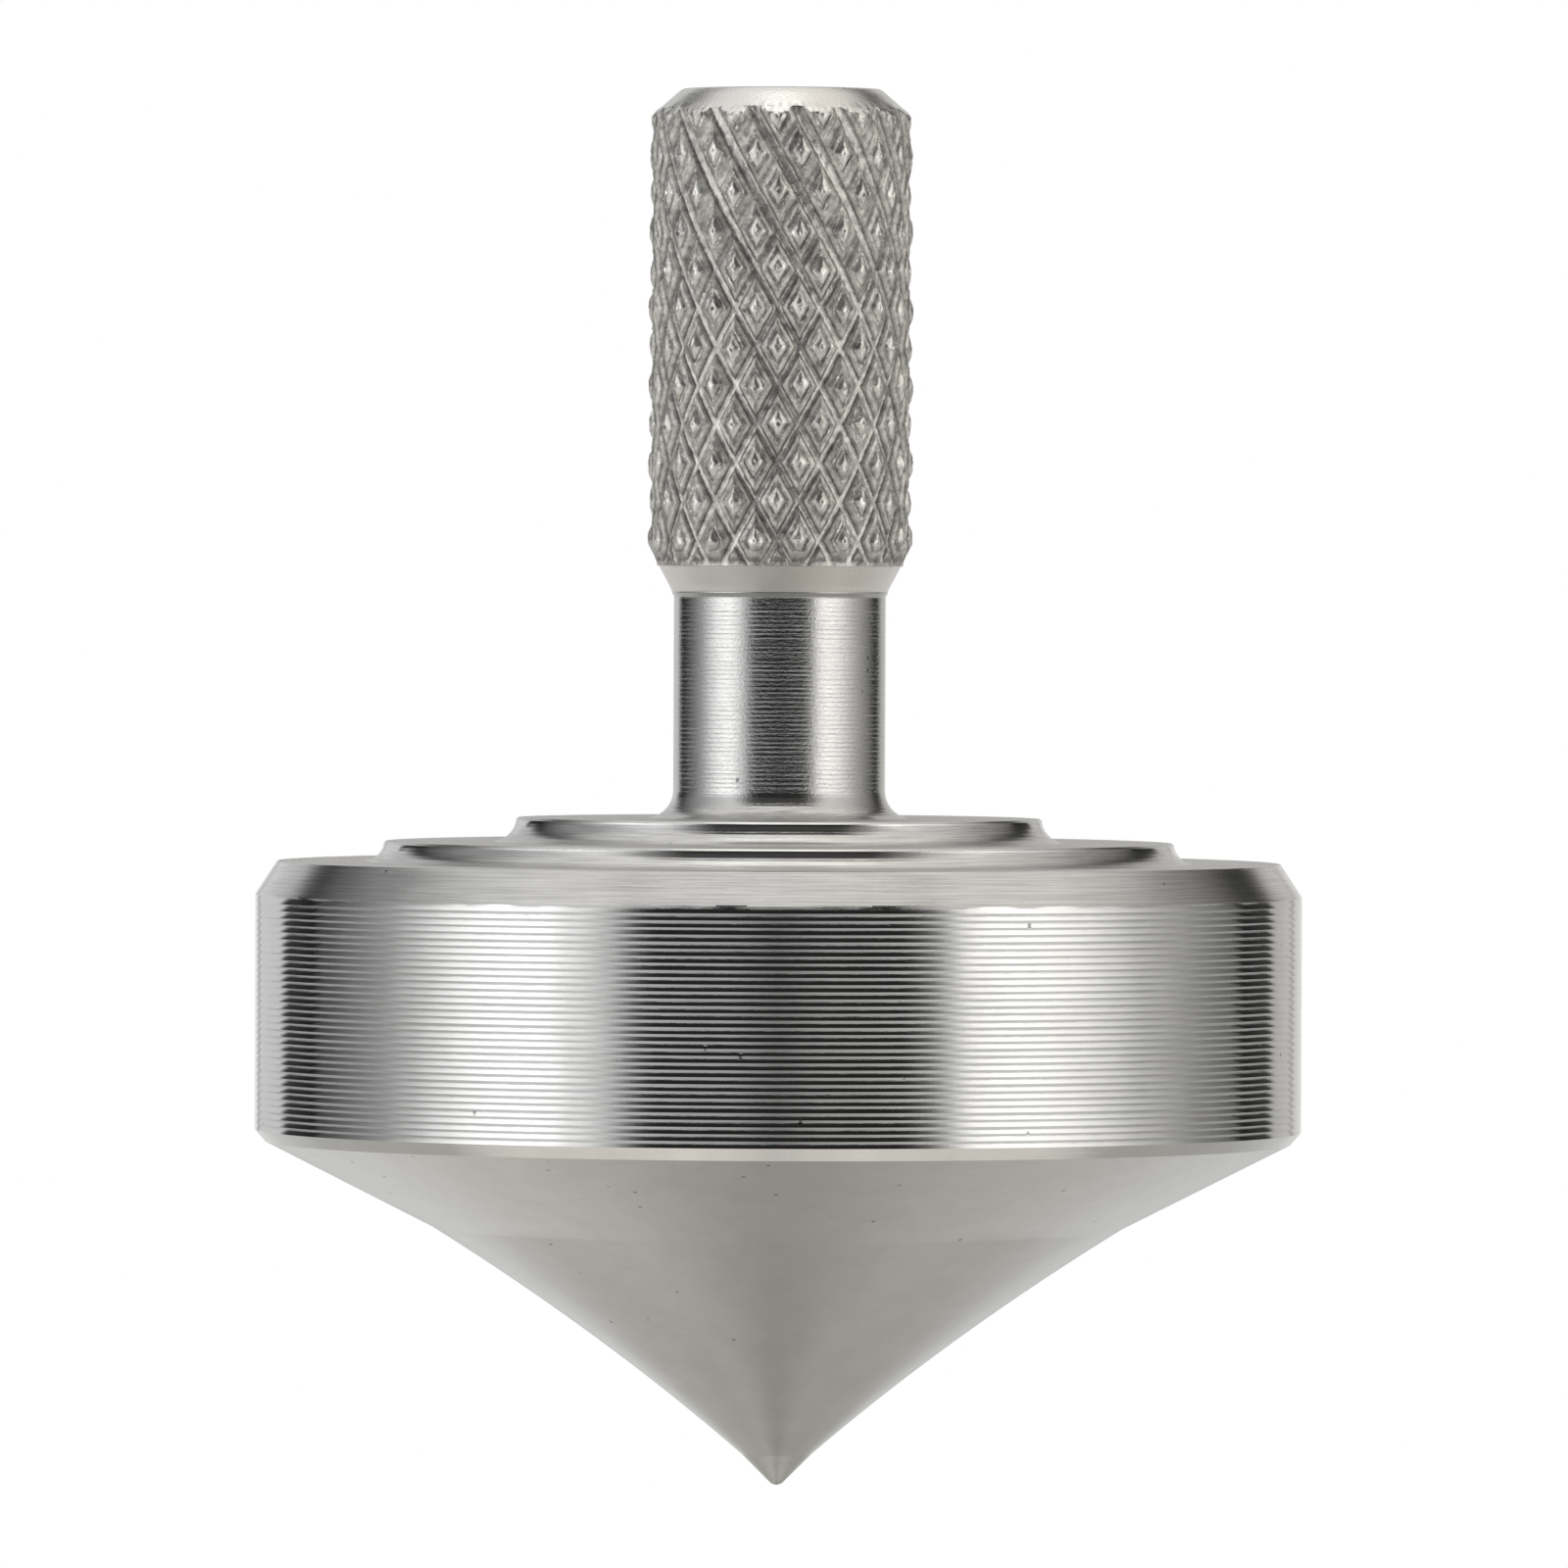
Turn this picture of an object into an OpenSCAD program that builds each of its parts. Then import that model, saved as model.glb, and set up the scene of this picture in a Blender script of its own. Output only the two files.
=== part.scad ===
// Small turned plumb bob: knurled screw-off head, M4 stud, one-piece body and pressed-in hard point.
// The bob hangs point down. The origin is the mouth of the cord hole, in the middle of the head's top face,
// and +Z runs up the axis. Inside the modules heights are measured up from the point.

/* [Overall] */
// Height from the point to the top of the head
overall_h = 40; // [39:0.1:44]
// Diameter of the rim
rim_d = 30; // [28:0.1:34]

/* [Cone] */
// Height at which the straight part of the cone starts
flare_top_h = 7.4; // [6.6:0.1:7.8]
// Diameter of the cone where its straight part starts
flare_top_d = 19.8; // [18:0.1:21]
// Angle of the straight part from the axis
cone_angle = 63.1; // [60:0.1:66]
// Angle of the flare from the axis beside the point
flare_low_angle = 49; // [45:1:52]
// Angle of the flare from the axis where it meets the straight part
flare_high_angle = 58; // [56:1:62]

/* [Rim] */
// Height of the chamfer's lower edge on the rim
rim_top_h = 16.9; // [15:0.01:17.2]
// Height of the disc's flat top
disc_top_h = 17.85; // [17.6:0.01:18.1]
// How far the top chamfer runs in from the rim
top_chamfer = 0.62; // [0.3:0.01:1.2]
// How far the edge break under the rim runs in
low_chamfer = 0.3; // [0.1:0.05:0.6]
// Height of the edge break under the rim
low_chamfer_h = 0.35; // [0.1:0.05:0.8]

/* [Steps] */
// Diameter of the lower step
low_step_d = 22.66; // [20:0.01:25]
// Height of the lower step's top
low_step_h = 18.43; // [18.3:0.01:18.6]
// Diameter of the upper step
high_step_d = 15.08; // [13:0.01:17]
// Height of the upper step's top
high_step_h = 19.12; // [18.9:0.01:19.2]
// Radius of the fillets at the foot of each step and of the neck
fillet_r = 0.8; // [0.72:0.01:0.9]

/* [Neck] */
// Diameter of the neck
neck_d = 6.08; // [5.8:0.02:6.12]
// Diameter of the small collar at the top of the neck
collar_d = 6.2; // [6.14:0.02:6.4]
// Height of the joint face between neck and head
seam_h = 25.6; // [24:0.1:26]

/* [Head] */
// Diameter of the head across the bottoms of the knurl's grooves
root_d = 7.04; // [6.8:0.02:7.2]
// Diameter of the head across the tips of the diamonds
crest_d = 7.64; // [7.3:0.02:8]
// Number of diamonds round the head
diamonds = 18; // [16:1:24]
// Half the height of one diamond
half_diamond_h = 1.1; // [0.9:0.01:1.3]
// Height of the plain cone under the knurl
head_cone_h = 0.75; // [0.5:0.05:1]
// Diameter of the head's flat top
top_flat_d = 5.7; // [5:0.1:6.2]
// Height of the chamfer round the top
crown_h = 0.62; // [0.4:0.01:0.9]

/* [Cord] */
// Diameter of the cord hole
cord_bore_d = 1.5; // [1:0.1:2.2]
// Length of the cord hole, down to the chamber for the knot
cord_bore_l = 3; // [2:0.1:5]

/* [Thread] */
// Outer diameter of the thread, which is shown as a plain cylinder
thread_d = 4; // [3.5:0.1:4]
// Drilled diameter behind each thread
core_d = 3.3; // [2.6:0.1:3.3]
// Length of the stud
stud_l = 10; // [8:0.5:10]
// Clearance round the stud, on the radius
thread_gap = 0.03; // [0.01:0.01:0.1]
// Width of the hexagon socket across its flats
hex_w = 2; // [1.5:0.1:2]
// Depth of the hexagon socket
hex_depth = 2; // [1:0.1:3]

/* [Point] */
// Diameter of the hard pin
pin_d = 2; // [1.6:0.1:2.4]
// Length of the hard pin with its point
pin_l = 8; // [4:0.5:10]
// Full angle of the point
point_angle = 90; // [84:1:96]
// Radius of the rounded tip
tip_r = 0.28; // [0.1:0.01:0.4]

/* [Hidden] */
$fn = 96;
steel = [0.72, 0.71, 0.68];
hard_steel = [0.62, 0.62, 0.61];
rim_r = rim_d / 2;
neck_r = neck_d / 2;
pin_r = pin_d / 2;
core_r = core_d / 2;
thread_r = thread_d / 2;
root_r = root_d / 2;
crest_r = crest_d / 2;
arc_steps = 8;
// a press fit bites this far on the radius
press_bite = 0.005;
// angle between a twist drill's end and its axis
drill_angle = 59;
// free length past each end of the stud
end_gap = 0.4;
stud_chamfer = 0.35;
edge_break = 0.1;
// how hard each end of the flare's curve pulls
low_pull_l = 4.8;
high_pull_l = 2;
// height of the fillet under the neck's collar
collar_h = 0.15;
// the cylinder of the head that the knurl stands on is a hair inside the grooves
land_r = root_r - 0.02;
half_point = point_angle / 2;
// lower edge of the pin's shank, where the point's cone reaches the pin's radius
shank_h = pin_r / tan(half_point) + tip_r * (1 - 1 / sin(half_point));
knurl_low_h = seam_h + head_cone_h;
knurl_high_h = overall_h - crown_h;
knurl_rows = round((knurl_high_h - knurl_low_h) / half_diamond_h);
knurl_step = (knurl_high_h - knurl_low_h) / knurl_rows;
// small overlap that makes a cut run clean through a face
over = 0.01;

// points of an arc: centre [radius, height], its own radius, and its start and end angles
function arc(c, r, from, to) =
    [for (i = [0 : arc_steps]) let (a = from + (to - from) * i / arc_steps) c + r * [cos(a), sin(a)]];

// a point of the curve that runs from a to d, with b and c pulling it
function bezier(a, b, c, d, t) =
    a * pow(1 - t, 3) + 3 * b * pow(1 - t, 2) * t + 3 * c * (1 - t) * pow(t, 2) + d * pow(t, 3);

// unit step up and out at an angle from the axis
function slope(angle) = [sin(angle), cos(angle)];

// a step's corner, and the hollow fillet that runs from it out to the flat below
function step_foot(r, top_h, flat_h) =
    let (drop = flat_h + fillet_r - top_h)
    let (reach = sqrt(pow(fillet_r, 2) - pow(drop, 2)))
    arc([r + reach, flat_h + fillet_r], fillet_r, 270, 180 + asin(drop / fillet_r));

// the hollow side of the cone, from the pin's edge to the straight part
function flare() =
    let (low = [pin_r, shank_h])
    let (high = [flare_top_d / 2, flare_top_h])
    let (low_pull = low + low_pull_l * slope(flare_low_angle))
    let (high_pull = high - high_pull_l * slope(flare_high_angle))
    [for (i = [0 : 2 * arc_steps]) bezier(low, low_pull, high_pull, high, i / (2 * arc_steps))];

// outline of the body's outside, from the pin's edge up to the joint face
function body_outline() = concat(
    flare(),
    let (edge_r = rim_r - low_chamfer)
    let (edge_h = flare_top_h + (edge_r - flare_top_d / 2) / tan(cone_angle))
    [[edge_r, edge_h], [rim_r, edge_h + low_chamfer_h]],
    [[rim_r, rim_top_h], [rim_r - top_chamfer, disc_top_h]],
    step_foot(low_step_d / 2, low_step_h, disc_top_h),
    step_foot(high_step_d / 2, high_step_h, low_step_h),
    arc([neck_r + fillet_r, high_step_h + fillet_r], fillet_r, 270, 180),
    [[neck_r, seam_h - collar_h], [collar_d / 2, seam_h - edge_break]],
    [[collar_d / 2, seam_h]]
);

// a hole drilled along the axis from height mouth down to height end, with the drill's cone at its end
module drilled(r, mouth, end) {
    way = mouth > end ? -1 : 1;
    start = mouth - way * over;
    tip = end + way * r / tan(drill_angle);
    rotate_extrude()
        polygon([[0, start], [r, start], [r, end], [0, tip]]);
}

// a plain round hole between two heights
module bore(r, low, high) {
    translate([0, 0, low])
        cylinder(r = r, h = high - low);
}

module body() {
    socket_end = seam_h - stud_l / 2 - end_gap;
    color(steel)
        difference() {
            rotate_extrude()
                polygon(concat([[0, shank_h]], body_outline(), [[0, seam_h]]));
            bore(thread_r + thread_gap, socket_end, seam_h + over);
            drilled(core_r, seam_h, socket_end - end_gap);
            drilled(pin_r - press_bite, shank_h, pin_l + end_gap);
        }
}

module point() {
    color(hard_steel)
        rotate_extrude()
            polygon(concat(
                arc([0, tip_r], tip_r, -90, -half_point),
                [[pin_r, shank_h], [pin_r, pin_l - edge_break], [pin_r - edge_break, pin_l], [0, pin_l]]
            ));
}

module neck_stud() {
    low = seam_h - stud_l / 2;
    high = seam_h + stud_l / 2;
    end_r = thread_r - stud_chamfer;
    color(hard_steel)
        difference() {
            rotate_extrude()
                polygon([
                    [0, low], [end_r, low], [thread_r, low + stud_chamfer],
                    [thread_r, high - stud_chamfer], [end_r, high], [0, high]
                ]);
            translate([0, 0, high - hex_depth])
                linear_extrude(hex_depth + over)
                    circle(d = hex_w / cos(30), $fn = 6);
        }
}

// band of diamonds: rows of points in which tips and groove crossings take turns
module knurl() {
    count = 2 * diamonds;
    ring = [for (j = [0 : knurl_rows]) [for (i = [0 : count - 1]) j * count + i]];
    tip = function (i, j) (i + j) % 2 == 0 && j > 0 && j < knurl_rows;
    points = [
        for (j = [0 : knurl_rows], i = [0 : count - 1])
            let (r = tip(i, j) ? crest_r : root_r)
            let (a = 360 * i / count)
            [r * cos(a), r * sin(a), knurl_low_h + j * knurl_step]
    ];
    sides = [
        for (j = [0 : knurl_rows - 1], i = [0 : count - 1])
            let (a = ring[j][i], b = ring[j][(i + 1) % count])
            let (c = ring[j + 1][(i + 1) % count], d = ring[j + 1][i])
            each (i + j) % 2 == 0 ? [[a, d, b], [b, d, c]] : [[a, c, b], [a, d, c]]
    ];
    ends = [ring[0], [for (i = [count - 1 : -1 : 0]) ring[knurl_rows][i]]];
    polyhedron(points, concat(sides, ends));
}

module knurled_head() {
    socket_end = seam_h + stud_l / 2 + end_gap;
    chamber_end = overall_h - cord_bore_l - (core_r - cord_bore_d / 2) / tan(drill_angle);
    color(steel)
        difference() {
            union() {
                rotate_extrude()
                    polygon([
                        [0, seam_h], [collar_d / 2, seam_h], [land_r, knurl_low_h], [0, knurl_low_h]
                    ]);
                knurl();
                rotate_extrude()
                    polygon([
                        [0, knurl_high_h], [land_r, knurl_high_h],
                        [land_r - edge_break, knurl_high_h + edge_break],
                        [top_flat_d / 2, overall_h], [0, overall_h]
                    ]);
            }
            bore(thread_r + thread_gap, seam_h - over, socket_end);
            drilled(core_r, seam_h, chamber_end);
            bore(cord_bore_d / 2, chamber_end, overall_h + over);
        }
}

// moves a piece from heights above the point to the part's own origin at the cord hole
module hung() {
    translate([0, 0, -overall_h])
        children();
}

hung() body();
hung() point();
hung() neck_stud();
hung() knurled_head();
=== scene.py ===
"""Looks of a small turned plumb bob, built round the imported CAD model.

Outlines and meshes are worked out in millimetres above the bob's point, and are moved and scaled to the
frame (metres, origin at the mouth of the cord hole) when a mesh is made.
"""

import math
import random

import bpy
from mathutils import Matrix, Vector, noise


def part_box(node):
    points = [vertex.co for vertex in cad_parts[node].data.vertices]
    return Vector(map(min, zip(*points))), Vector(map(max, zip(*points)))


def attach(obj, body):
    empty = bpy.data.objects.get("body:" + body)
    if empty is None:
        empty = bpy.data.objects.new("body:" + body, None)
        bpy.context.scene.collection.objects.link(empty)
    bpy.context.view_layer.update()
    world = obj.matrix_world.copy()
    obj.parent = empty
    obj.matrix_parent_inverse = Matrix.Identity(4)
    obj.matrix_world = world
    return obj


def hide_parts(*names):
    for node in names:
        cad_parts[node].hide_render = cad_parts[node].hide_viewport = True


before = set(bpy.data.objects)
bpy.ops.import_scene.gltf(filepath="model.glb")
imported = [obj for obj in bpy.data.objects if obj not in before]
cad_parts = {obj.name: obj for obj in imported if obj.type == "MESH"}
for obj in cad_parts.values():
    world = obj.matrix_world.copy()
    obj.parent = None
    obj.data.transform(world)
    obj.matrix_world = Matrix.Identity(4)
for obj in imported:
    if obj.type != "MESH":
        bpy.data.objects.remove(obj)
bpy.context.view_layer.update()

MM = 0.001
SEED = 20

# Sizes that the frame gives
BODY_LOW, BODY_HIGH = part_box("body")
HEAD_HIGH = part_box("knurled_head")[1]
POINT_LOW, POINT_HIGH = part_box("point")
STUD_LOW, STUD_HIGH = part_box("neck_stud")
TIP_Z = POINT_LOW.z / MM
TOP = HEAD_HIGH.z / MM - TIP_Z
RIM_R = BODY_HIGH.x / MM
SEAM = BODY_HIGH.z / MM - TIP_Z
PIN_R = POINT_HIGH.x / MM
PIN_L = POINT_HIGH.z / MM - TIP_Z
SHANK_H = BODY_LOW.z / MM - TIP_Z
STUD_R = STUD_HIGH.x / MM
STUD_FOOT = STUD_LOW.z / MM - TIP_Z
STUD_TOP = STUD_HIGH.z / MM - TIP_Z
CREST_R = HEAD_HIGH.x / MM

# Sizes that follow the design, in millimetres and degrees. A pair is (radius, height above the point).
# The cone is ground up to GROUND_TOP, and the neck's finish starts NECK_FINISH above the upper step.
GROUND_TOP = 9.84
NECK_FINISH = 0.3
FLARE_TOP = (9.9, 7.4)
FLARE_LOW_ANGLE = 49
FLARE_HIGH_ANGLE = 58
FLARE_LOW_PULL = 4.8
FLARE_HIGH_PULL = 2.0
CONE_ANGLE = 63.1
LOW_CHAMFER = 0.3
LOW_CHAMFER_H = 0.35
RIM_TOP = 16.9
DISC_TOP = 17.85
TOP_CHAMFER = 0.62
LOW_STEP = (11.33, 18.43)
HIGH_STEP = (7.54, 19.12)
FILLET_R = 0.8
NECK_R = 3.04
COLLAR_R = 3.1
COLLAR_H = 0.14
THREAD_GAP = 0.03
CORE_R = 1.65
END_GAP = 0.4
DRILL_ANGLE = math.radians(59)
CORD_R = 0.75
CORD_L = 3.0
HEAD_CONE = 0.75
CROWN = 0.62
TOP_FLAT_R = 2.85
PRESS_BITE = 0.005
POINT_ANGLE = math.radians(45)
TIP_R = 0.28
THREAD_PITCH = 0.7
THREAD_DEPTH = 0.43
STUD_CHAMFER = 0.5
HEX_WIDTH = 2.0
HEX_DEPTH = 2.0
HEX_DRILL = 0.3

# Edges, in millimetres
HOLE_BREAK = 0.1
FACE_BREAK = 0.01
STEP_BREAK = 0.06
CROWN_BREAK = (0.05, 0.04)
CROWN_ROUND = 0.03
CORD_BREAK = 0.15
DISC_LIP = (0.04, 0.01)
# Radius of a step's fillet, as a share of the step's height
STEP_FILLET = 1.03
# Foot of the head's plain cone: radius, and height above the seam. Its end: radius, and how far it stops
# short of the knurl.
HEAD_CONE_FOOT = (3.12, 0.08)
HEAD_CONE_END = (3.46, 0.02)
# Where the crown's cone meets the knurl: radius, and height above the crown's lower edge
CROWN_FOOT = (3.45, 0.1)
CROWN_SLOPE = (CROWN_FOOT[0] - TOP_FLAT_R) / (CROWN - CROWN_FOOT[1])

# Tool marks, in millimetres
FEED = 0.2
FEED_NOSE_R = 0.8
FEED_STEPS = 4
FEED_WEAR = (-0.15, 0.2)
FEED_SHIFT = 0.08
NECK_FEED = 0.13
CHAMFER_FEED = 0.12
CHAMFER_NOSE_R = 2.0
MARK_STEPS = 3
LATHE_SEGMENTS = 216
LATHE_CREASE = 5.5
# How deep the chips in a corner are, and how near to its height a corner's points lie
NICK = 0.009
NICK_REACH = 0.02

# Knurl, in millimetres
DIAMONDS = 18
DIAMOND_H = 2.2
CELL_STEPS = 28
GROOVE_R = 3.51
KNURL_TURN = math.radians(-81.3)
KNURL_LEVEL = 27.06
# Height of a diamond above the groove's floor, at even steps from the groove to the diamond's middle
CELL_SIDE = (0, 0.004, 0.016, 0.085, 0.135, 0.15, 0.165, 0.18, 0.145, 0.21, 0.24, 0.265, 0.285, 0.28, 0.19)
CELL_HALF = len(CELL_SIDE) - 1
# Step at which a diamond's raised middle starts, how far it leans, and its least and greatest size
INNER = 7
CELL_LEAN = 0.10
CELL_SIZE = (0.8, 1.3)
# Towards the top one family of grooves is wider, the other shallower, and the diamonds are flatter
UNEVEN_FROM = 0.45
UNEVEN_TO = 0.95
WIDER = 2.2
WIDER_SPREAD = 0.3
SHALLOWER = 0.55
FLATTER = 0.35
# The knurl runs out over this height above the plain cone, from this radius by this much
RUN_OUT = 0.85
RUN_OUT_R = 3.52
RUN_OUT_RISE = 0.32
# Roughness of the knurl, and of the line where the crown cuts it
GRIT = 0.022
GRIT_CUT = 0.03


# ---------------------------------------------------------------- outlines


def arc(centre, r, start, end, steps):
    """Points of an arc from angle start to angle end, in degrees."""
    points = []
    for i in range(steps + 1):
        a = math.radians(start + (end - start) * i / steps)
        points.append((centre[0] + r * math.cos(a), centre[1] + r * math.sin(a)))
    return points


def bezier(a, b, c, d, steps):
    """Points of the curve from a to d that b and c pull."""
    points = []
    for i in range(steps + 1):
        t = i / steps
        u = 1 - t
        weights = (u ** 3, 3 * u * u * t, 3 * u * t * t, t ** 3)
        points.append(tuple(sum(w * p[k] for w, p in zip(weights, (a, b, c, d))) for k in (0, 1)))
    return points


def line(a, b, steps):
    """Evenly spaced points from a to b."""
    return [tuple(a[k] + (b[k] - a[k]) * i / steps for k in (0, 1)) for i in range(steps + 1)]


def marked(point_at, length, feed, nose_r):
    """Points of a turned run with a shallow hollow for each turn of the tool. point_at takes a share of the
    run and a distance off the surface, and gives the point there."""
    turns = max(1, round(length / feed))
    pitch = length / turns
    points = []
    for k in range(turns):
        for i in range(MARK_STEPS + 1):
            across = i / MARK_STEPS - 0.5
            sag = ((0.5 * pitch) ** 2 - (across * pitch) ** 2) / (2 * nose_r)
            if i < MARK_STEPS or k == turns - 1:
                points.append(point_at((k + i / MARK_STEPS) / turns, sag))
    return points


def marked_arc(centre, r, start, end):
    """A hollow fillet with tool marks."""
    def point_at(share, sag):
        a = math.radians(start + (end - start) * share)
        return (centre[0] + (r + sag) * math.cos(a), centre[1] + (r + sag) * math.sin(a))
    return marked(point_at, r * math.radians(abs(end - start)), NECK_FEED, FEED_NOSE_R)


def marked_line(a, b, feed, nose_r):
    """A straight run with tool marks. They are cut to the left of the way from a to b."""
    length = math.dist(a, b)
    off = ((a[1] - b[1]) / length, (b[0] - a[0]) / length)
    def point_at(share, sag):
        return tuple(a[k] + (b[k] - a[k]) * share + off[k] * sag for k in (0, 1))
    return marked(point_at, length, feed, nose_r)


def step(r, top, flat):
    """Side of a step: a hollow fillet from the flat below it up to its broken edge."""
    fillet_r = STEP_FILLET * (top - flat)
    drop = flat + fillet_r - top + STEP_BREAK
    reach = math.sqrt(fillet_r ** 2 - drop ** 2)
    end = 180 + math.degrees(math.asin(drop / fillet_r))
    return join(marked_arc((r + reach, flat + fillet_r), fillet_r, 270, end), [(r - STEP_BREAK, top)])


def feed_marks(r, low, high, feed, steps, chance):
    """An upright turned side: one shallow hollow for each turn of the tool, no two quite alike."""
    turns = round((high - low) / feed)
    pitch = (high - low) / turns
    points = [(r, low)]
    for k in range(turns):
        nose_r = FEED_NOSE_R * (1 + chance.uniform(*FEED_WEAR))
        depth = (pitch / 2) ** 2 / (2 * nose_r)
        shift = chance.uniform(-FEED_SHIFT, FEED_SHIFT)
        for i in range(steps + 1):
            across = i / steps - 0.5
            place = across + shift * (1 - 4 * across * across)
            sag = (across * pitch) ** 2 / (2 * nose_r)
            if i < steps or k == turns - 1:
                points.append((r - depth + sag, low + pitch * (k + 0.5 + place)))
    return points[1:]


def flare():
    """The hollow side of the cone, from the pin's edge up to its straight part."""
    low = (PIN_R, SHANK_H)
    a, b = math.radians(FLARE_LOW_ANGLE), math.radians(FLARE_HIGH_ANGLE)
    low_pull = (low[0] + FLARE_LOW_PULL * math.sin(a), low[1] + FLARE_LOW_PULL * math.cos(a))
    high_pull = (
        FLARE_TOP[0] - FLARE_HIGH_PULL * math.sin(b),
        FLARE_TOP[1] - FLARE_HIGH_PULL * math.cos(b),
    )
    return bezier(low, low_pull, high_pull, FLARE_TOP, steps=44)


def join(*runs):
    """One outline from several runs of points, with no point twice."""
    outline = []
    for run in runs:
        for p in run:
            if not outline or math.dist(p, outline[-1]) > 1e-5:
                outline.append(p)
    return outline


# ---------------------------------------------------------------- meshes


def add_object(name, verts, faces, crease_angle):
    """A mesh object whose vertices are given in millimetres above the point."""
    mesh = bpy.data.meshes.new(name)
    placed = [(x * MM, y * MM, (z + TIP_Z) * MM) for x, y, z in verts]
    mesh.from_pydata(placed, [], faces)
    mesh.validate()
    mesh.polygons.foreach_set("use_smooth", [True] * len(mesh.polygons))
    mesh.set_sharp_from_angle(angle=math.radians(crease_angle))
    mesh.update()
    obj = bpy.data.objects.new(name, mesh)
    bpy.context.scene.collection.objects.link(obj)
    return obj


def lathe(name, outline, segments=LATHE_SEGMENTS, crease_angle=LATHE_CREASE, nicked=()):
    """Turns an outline round the axis. A point with no radius becomes one vertex on the axis.
    The corners at the heights in nicked are a little chipped and uneven."""
    chance = random.Random(SEED)
    verts, rings = [], []
    for r, z in outline:
        if r < 1e-6:
            rings.append([len(verts)])
            verts.append((0, 0, z))
            continue
        rings.append(list(range(len(verts), len(verts) + segments)))
        chip = NICK if any(abs(z - height) < NICK_REACH for height in nicked) else 0
        for i in range(segments):
            a = 2 * math.pi * i / segments
            bite = chip * chance.random() ** 2
            verts.append(((r - bite) * math.cos(a), (r - bite) * math.sin(a), z - bite / 2))
    faces = []
    for low, high in zip(rings, rings[1:]):
        for i in range(segments):
            j = (i + 1) % segments
            if len(low) == 1 and len(high) > 1:
                faces.append((low[0], high[j], high[i]))
            elif len(high) == 1 and len(low) > 1:
                faces.append((low[i], low[j], high[0]))
            elif len(low) > 1:
                faces.append((low[i], low[j], high[j], high[i]))
    return add_object(name, verts, faces, crease_angle)


def make_body():
    """Cone, rim, steps and neck, with the socket for the stud above and the hole for the pin below."""
    socket_r = STUD_R + THREAD_GAP
    socket_end = STUD_FOOT - END_GAP
    core_end = socket_end - END_GAP
    hole_r = PIN_R - PRESS_BITE
    hole_end = PIN_L + END_GAP
    edge_r = RIM_R - LOW_CHAMFER
    edge_h = FLARE_TOP[1] + (edge_r - FLARE_TOP[0]) / math.tan(math.radians(CONE_ANGLE))
    chamfer_r = RIM_R - TOP_CHAMFER
    chance = random.Random(SEED)
    neck_foot = HIGH_STEP[1] + FILLET_R
    outline = join(
        [(0, hole_end + hole_r / math.tan(DRILL_ANGLE))],
        line((hole_r, hole_end), (hole_r, SHANK_H), steps=3),
        flare(),
        line(FLARE_TOP, (edge_r, edge_h), steps=8),
        line((edge_r, edge_h), (RIM_R, edge_h + LOW_CHAMFER_H), steps=3),
        feed_marks(RIM_R, edge_h + LOW_CHAMFER_H, RIM_TOP, FEED, FEED_STEPS, chance),
        marked_line((RIM_R, RIM_TOP), (chamfer_r, DISC_TOP), CHAMFER_FEED, CHAMFER_NOSE_R),
        [(chamfer_r - DISC_LIP[0], DISC_TOP + DISC_LIP[1])],
        step(*LOW_STEP, DISC_TOP),
        step(*HIGH_STEP, LOW_STEP[1]),
        marked_arc((NECK_R + FILLET_R, neck_foot), FILLET_R, 270, 180),
        feed_marks(NECK_R, neck_foot, SEAM - COLLAR_H, NECK_FEED, MARK_STEPS, chance),
        line((NECK_R, SEAM - COLLAR_H), (COLLAR_R, SEAM - 2 * FACE_BREAK), steps=3),
        [(COLLAR_R, SEAM - FACE_BREAK), (COLLAR_R - FACE_BREAK, SEAM)],
        [(socket_r + HOLE_BREAK, SEAM), (socket_r, SEAM - HOLE_BREAK)],
        [(socket_r, socket_end), (CORE_R, socket_end)],
        [(CORE_R, core_end), (0, core_end - CORE_R / math.tan(DRILL_ANGLE))],
    )
    return lathe("body_turned", outline, nicked=(RIM_TOP, DISC_TOP))


def make_point():
    """The hard pin with its ground point."""
    cone_start = (TIP_R * math.sin(POINT_ANGLE), TIP_R * (1 - math.cos(POINT_ANGLE)))
    outline = join(
        [(0, 0)],
        arc((0, TIP_R), TIP_R, -90, -math.degrees(POINT_ANGLE), steps=8)[1:],
        line(cone_start, (PIN_R, SHANK_H), steps=10),
        line((PIN_R, SHANK_H), (PIN_R, PIN_L - HOLE_BREAK), steps=6),
        [(PIN_R - HOLE_BREAK, PIN_L), (0, PIN_L)],
    )
    return lathe("point_ground", outline, segments=96, crease_angle=12)


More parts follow.
